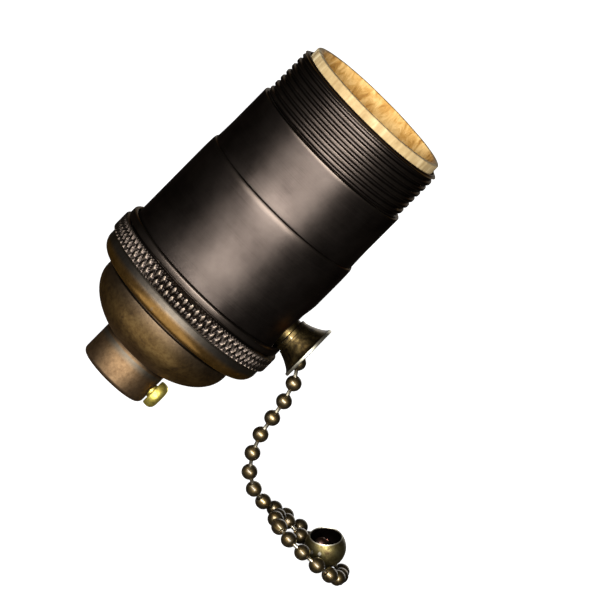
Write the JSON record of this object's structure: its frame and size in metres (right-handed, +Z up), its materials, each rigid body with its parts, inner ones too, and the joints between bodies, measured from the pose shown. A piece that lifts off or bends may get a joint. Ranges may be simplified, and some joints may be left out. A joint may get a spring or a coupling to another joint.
{
  "type": "pull chain lampholder",
  "caption": "Lampholder with a built-in pull-chain switch: threaded brass cap and shell, fibre liner, lamp screw shell, ratchet switch and a beaded chain through a bell.",
  "frame": {"origin": "on the surface that the neck stands on, under the middle of the lampholder's box without its chain; the lampholder's axis is 2.1 mm to the -X side of it", "axes": "+Z up along the lampholder's axis, from the neck to the lamp opening; +X along the chain bell, the way that the chain is pulled"},
  "size_m": [0.0842, 0.0418, 0.0767],
  "materials": {
    "bronze": "dark oil-rubbed bronze, brushed round",
    "aged_brass": "antique brass, mottled",
    "chain_brass": "antique brass beads",
    "ball_brass": "antique brass, olive patina",
    "screw_brass": "bright brass",
    "fibre": "matt pressed fibre",
    "black_fibre": "matt black vulcanised fibre",
    "shell_aluminium": "satin",
    "phenolic": "brown-black phenolic moulding",
    "steel": "zinc plated",
    "contact_copper": "phosphor bronze strip"
  },
  "bodies": {
    "lampholder": {"socket_cap": "bronze", "cap_insulator": "black_fibre", "outer_shell": "bronze", "insulating_liner": "fibre", "lamp_screw_shell": "shell_aluminium", "shell_rivet_1": "screw_brass", "shell_rivet_2": "screw_brass", "centre_rivet": "screw_brass", "contact_block": "phenolic", "switch_housing": "phenolic", "assembly_screw_1": "steel", "assembly_screw_2": "steel", "hot_terminal": "screw_brass", "neutral_terminal": "shell_aluminium", "load_contact": "contact_copper", "pivot_pin": "steel", "return_spring": "steel", "detent_spring": "steel", "chain_bell": "aged_brass"},
    "chain": {"chain_inner": "chain_brass", "chain_free": "chain_brass", "chain_ball": "ball_brass", "chain_end_bead": "chain_brass"},
    "lever": {"pull_lever": "steel", "drive_pawl": "contact_copper"},
    "rotor": {"ratchet_wheel": "steel", "switch_rotor": "phenolic", "bridge_contact": "contact_copper"},
    "centre_leaf": {"centre_contact": "contact_copper"},
    "set_screw": {"cap_set_screw": "screw_brass"},
    "hot_screw": {"hot_terminal_screw": "screw_brass"},
    "neutral_screw": {"neutral_terminal_screw": "steel"}
  },
  "joints": [
    {"name": "chain_pull", "type": "slide", "parent": "lampholder", "child": "chain", "axis": [1, 0, 0], "range_m": [0, 0.006], "stiffness_N_per_m": 400, "springref_m": -0.0005},
    {"name": "lever_swing", "type": "hinge", "parent": "lampholder", "child": "lever", "pos_m": [0.0009, 0.007, 0.03], "axis": [0, 0, 1], "range_deg": [0, 48.5]},
    {"name": "rotor_step", "type": "hinge", "parent": "lampholder", "child": "rotor", "pos_m": [0.0009, 0.007, 0.036], "axis": [0, 0, 1], "range_deg": [0, 45.5]},
    {"name": "centre_contact_press", "type": "hinge", "parent": "lampholder", "child": "centre_leaf", "pos_m": [-0.0076, 0, 0.04755], "axis": [0, 1, 0], "range_deg": [0, 7], "stiffness_Nm_per_rad": 0.4, "springref_deg": -1.15},
    {"name": "set_screw_turn", "type": "hinge", "parent": "lampholder", "child": "set_screw", "pos_m": [0.0059, 0, 0.00355], "axis": [1, 0, 0], "continuous": true},
    {"name": "hot_screw_turn", "type": "hinge", "parent": "lampholder", "child": "hot_screw", "pos_m": [-0.0081, 0.007, 0.022], "axis": [0, 0, 1], "continuous": true},
    {"name": "neutral_screw_turn", "type": "hinge", "parent": "lampholder", "child": "neutral_screw", "pos_m": [-0.0071, -0.0062, 0.022], "axis": [0, 0, 1], "continuous": true}
  ],
  "couplings": [
    {"joint": "lever_swing", "follows": "chain_pull", "rad_per_m": 140.73},
    {"joint": "rotor_step", "follows": "chain_pull", "rad_per_m": 130.9}
  ]
}
